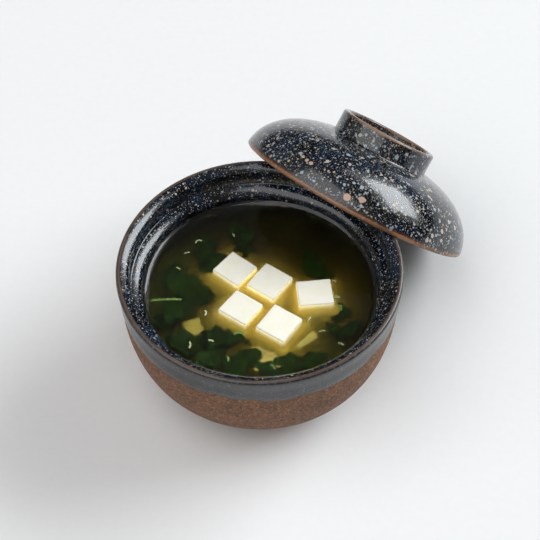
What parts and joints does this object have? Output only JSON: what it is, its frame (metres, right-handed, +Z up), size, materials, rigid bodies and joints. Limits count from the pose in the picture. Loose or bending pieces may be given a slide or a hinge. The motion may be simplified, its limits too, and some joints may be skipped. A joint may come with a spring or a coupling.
{
  "type": "miso soup in a lidded bowl",
  "caption": "Miso soup with tofu cubes in a round stoneware bowl, its domed lid leaning against the rim",
  "frame": {"origin": "centre of the underside of the box round the bowl and its leaning lid, on the table", "axes": "+Z up; +Y from the bowl's free front towards the side where the lid leans; +X to the right seen from the front"},
  "size_m": [0.1648, 0.182, 0.0901],
  "materials": {
    "stoneware": "blue-black speckled gloss glaze over brown unglazed clay",
    "broth": "wet, dark olive broth",
    "tofu": "soft ivory, slightly moist",
    "wakame": "dark green wet seaweed",
    "onion": "green and pale sliced spring onion"
  },
  "bodies": {
    "root": {"bowl": "stoneware", "lid": "stoneware", "broth": "broth", "tofu_1": "tofu", "tofu_2": "tofu", "tofu_3": "tofu", "tofu_4": "tofu", "tofu_5": "tofu"}
  },
  "joints": []
}
